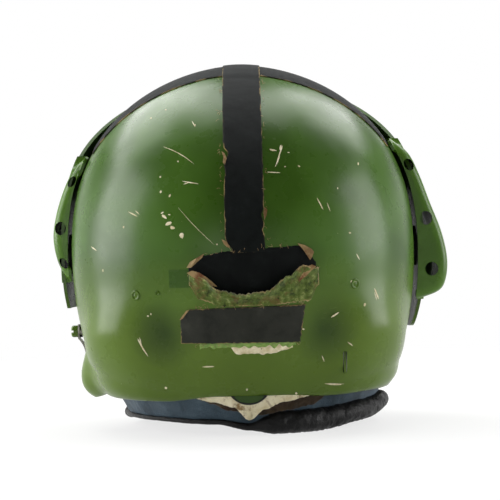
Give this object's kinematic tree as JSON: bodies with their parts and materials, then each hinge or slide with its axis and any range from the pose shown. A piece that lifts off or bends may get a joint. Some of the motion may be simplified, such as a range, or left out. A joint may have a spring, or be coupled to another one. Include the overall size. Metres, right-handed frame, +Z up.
{
  "type": "pilot flight helmet",
  "caption": "Green moulded flight helmet with a visor that turns up under a cover, pivot pods, ear cups, pads, taped back and a padded neck roll.",
  "frame": {"origin": "centre of the neck opening, on the surface that the helmet stands on", "axes": "-Y is the way the wearer faces, +X the wearer's left, +Z up"},
  "size_m": [0.2764, 0.2759, 0.2538],
  "materials": {
    "shell_paint": "polished",
    "cover_paint": "polished",
    "pod_paint": "polished",
    "lens": "polished",
    "black_rubber": "matte",
    "arm_metal": "satin",
    "steel": "satin",
    "liner_foam": "matte",
    "pad_leather": "matte",
    "dark_plastic": "matte",
    "black_leather": "satin",
    "grey_leather": "satin",
    "cream_cloth": "matte",
    "black_tape": "satin",
    "black_cloth": "matte",
    "olive_cloth": "matte",
    "webbing": "matte"
  },
  "bodies": {
    "helmet": {"outer_shell": "shell_paint", "lead_grommet": "black_rubber", "face_beading": "black_rubber", "visor_cover": "cover_paint", "pod_right": "pod_paint", "pod_left": "pod_paint", "pivot_pin_left": "steel", "pivot_pin_right": "steel", "friction_washer_left": "black_rubber", "friction_washer_right": "black_rubber", "pivot_nut_left": "steel", "pivot_nut_right": "steel", "energy_liner": "liner_foam", "crown_pad": "pad_leather", "brow_pad": "pad_leather", "nape_pad": "pad_leather", "ear_cup_left": "dark_plastic", "ear_cup_right": "dark_plastic", "ear_seal_left": "pad_leather", "ear_seal_right": "pad_leather", "earphone_left": "dark_plastic", "earphone_right": "dark_plastic", "cup_pad_left": "liner_foam", "cup_pad_right": "liner_foam", "edge_roll": "black_leather", "neck_skirt": "grey_leather", "lining_cloth": "cream_cloth", "crown_tape": "black_tape", "centre_tape": "black_tape", "lower_tape": "black_tape", "pocket_patch": "black_cloth", "pocket_flap": "olive_cloth", "back_rivets": "pod_paint", "rim_tongue": "black_rubber", "mask_hook": "steel", "hook_screw": "cover_paint", "hook_spacer": "steel", "mask_anchor": "arm_metal", "anchor_screws": "steel", "chin_strap_right": "webbing", "chin_strap_left": "webbing", "strap_buckle": "steel", "chin_pad": "pad_leather", "strap_anchor_left": "steel", "strap_anchor_right": "steel"},
    "visor": {"visor_lens": "lens", "visor_edge_trim": "black_rubber", "visor_arm_left": "arm_metal", "visor_arm_right": "arm_metal", "visor_rivets": "steel"}
  },
  "joints": [
    {"name": "visor_hinge", "type": "hinge", "parent": "helmet", "child": "visor", "pos_m": [0, 0, 0.122], "axis": [-1, 0, 0], "range_deg": [0, 50]}
  ]
}
